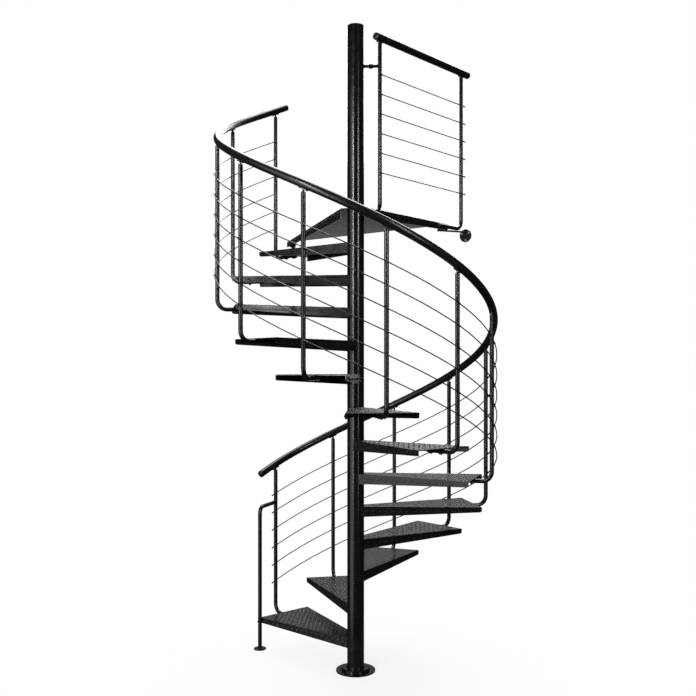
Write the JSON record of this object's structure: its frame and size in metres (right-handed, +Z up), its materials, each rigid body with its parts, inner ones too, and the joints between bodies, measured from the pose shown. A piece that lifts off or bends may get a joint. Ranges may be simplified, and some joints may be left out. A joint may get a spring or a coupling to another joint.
{
  "type": "spiral staircase",
  "caption": "Spiral staircase on a round centre column, with chequered wedge treads, a landing with its own guard, bent tube balusters, rod infill and a helical handrail.",
  "frame": {"origin": "centre of the base plate's underside, on the column's axis at floor level", "axes": "+Z up along the column; seen from above the first tread points 135 degrees anticlockwise from +X and the stair climbs clockwise"},
  "size_m": [1.79, 2.4445, 4.12],
  "materials": {
    "column_black": "semi-gloss black powder coat",
    "tread_black": "satin black powder coat on raised-pattern plate",
    "tube_black": "semi-gloss black powder coat",
    "rail_black": "smooth semi-gloss black coat",
    "rod_black": "semi-gloss black powder coat"
  },
  "bodies": {
    "root": {"base_plate": "column_black", "centre_pole": "column_black", "spacer_sleeves": "column_black", "newel_post": "column_black", "newel_cap": "column_black", "tread_01": "tread_black", "tread_02": "tread_black", "tread_03": "tread_black", "tread_04": "tread_black", "tread_05": "tread_black", "tread_06": "tread_black", "tread_07": "tread_black", "tread_08": "tread_black", "tread_09": "tread_black", "tread_10": "tread_black", "tread_11": "tread_black", "tread_12": "tread_black", "tread_13": "tread_black", "landing": "tread_black", "wall_flanges": "tube_black", "baluster_01": "tube_black", "baluster_02": "tube_black", "baluster_03": "tube_black", "baluster_04": "tube_black", "baluster_05": "tube_black", "baluster_06": "tube_black", "baluster_07": "tube_black", "baluster_08": "tube_black", "baluster_09": "tube_black", "baluster_10": "tube_black", "baluster_11": "tube_black", "baluster_12": "tube_black", "baluster_13": "tube_black", "rail_saddles": "tube_black", "handrail": "rail_black", "infill_rods": "rod_black", "starter_post": "tube_black", "starter_foot": "tube_black", "guard_post_inner": "tube_black", "guard_post_outer": "tube_black", "guard_saddles": "tube_black", "guard_handrail": "rail_black", "guard_rods": "rod_black", "guard_tie": "tube_black"}
  },
  "joints": []
}
